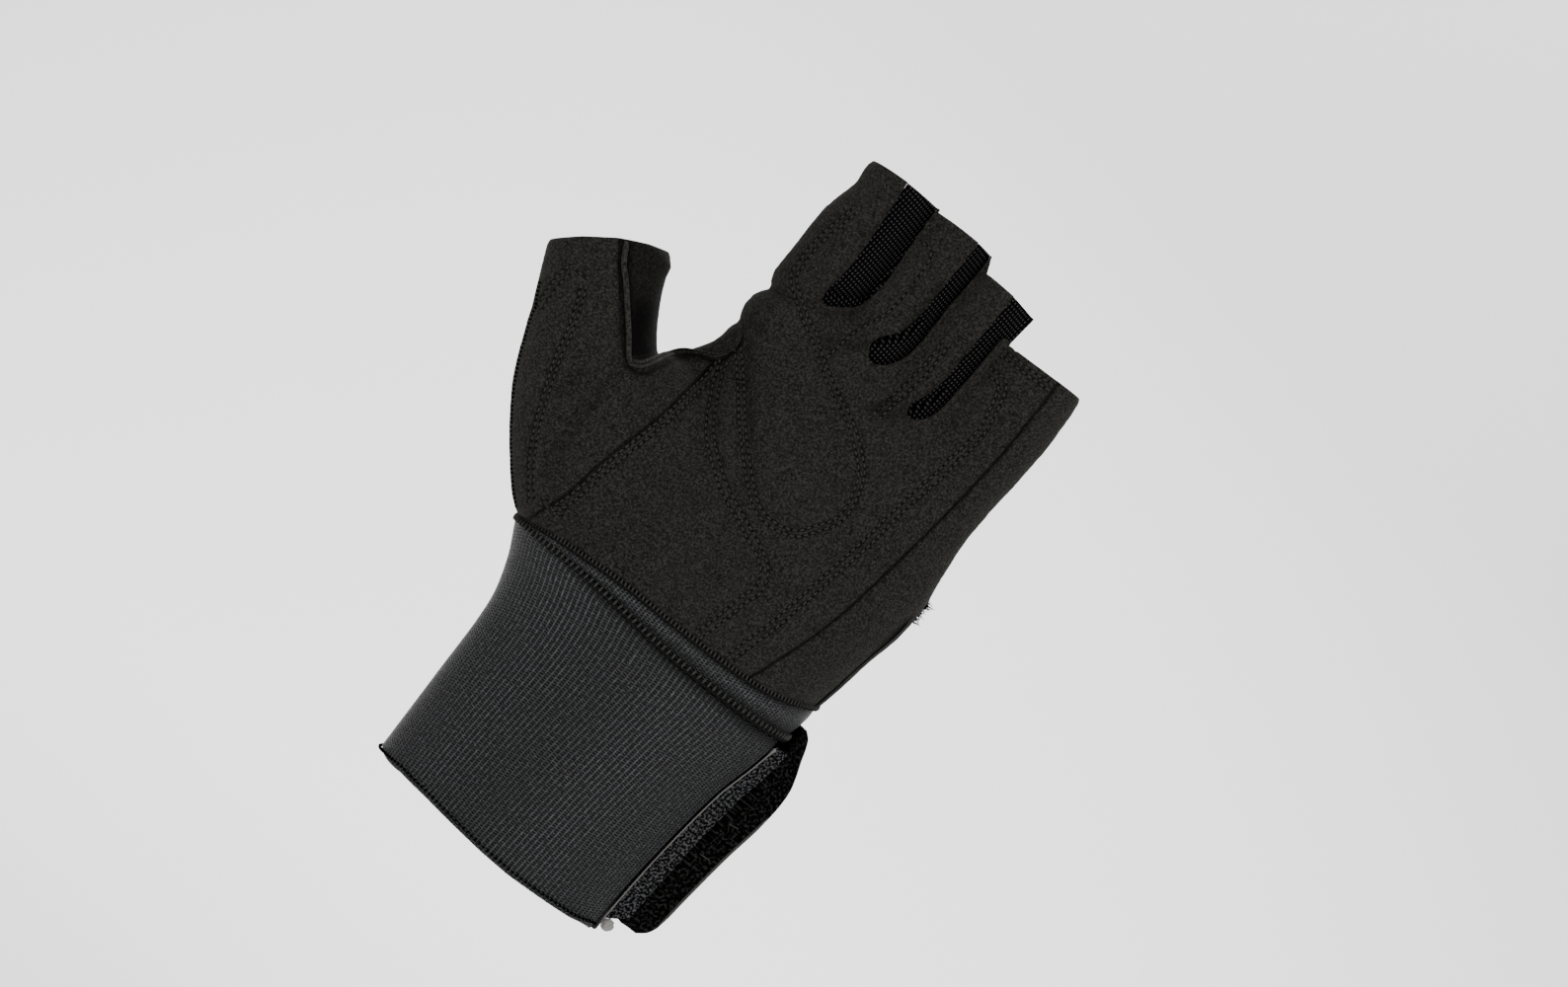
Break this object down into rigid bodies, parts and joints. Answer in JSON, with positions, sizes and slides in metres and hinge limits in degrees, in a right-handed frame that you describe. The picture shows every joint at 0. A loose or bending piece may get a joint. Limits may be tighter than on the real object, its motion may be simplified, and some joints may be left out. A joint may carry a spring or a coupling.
{
  "type": "weightlifting glove",
  "caption": "Left-hand weightlifting glove with open fingers, quilted suede palm, mesh between the finger stalls and a long elastic wrist wrap with a hook tape and a pile tab",
  "frame": {"origin": "centre of the wrist opening", "axes": "+Z from the wrist to the fingertips, the palm faces -Y, the thumb lies towards -X"},
  "size_m": [0.1395, 0.0586, 0.2063],
  "materials": {
    "suede": "napped synthetic suede, charcoal",
    "stretch": "matt stretch fabric",
    "mesh": "open black mesh",
    "knit": "ribbed elastic knit",
    "hooks": "grey hook tape",
    "pile": "black looped pile"
  },
  "bodies": {
    "root": {"palm_panel": "suede", "side_panel": "suede", "thumb_panel": "suede", "thumb_gusset": "suede", "thumb_ridge": "suede", "web_binding": "suede", "back_panel": "stretch", "fourchette_index_middle": "mesh", "fourchette_middle_ring": "mesh", "fourchette_ring_little": "mesh", "seam_strip": "knit", "wrist_band": "knit", "hook_tape": "hooks", "loop_tab": "pile"}
  },
  "joints": []
}
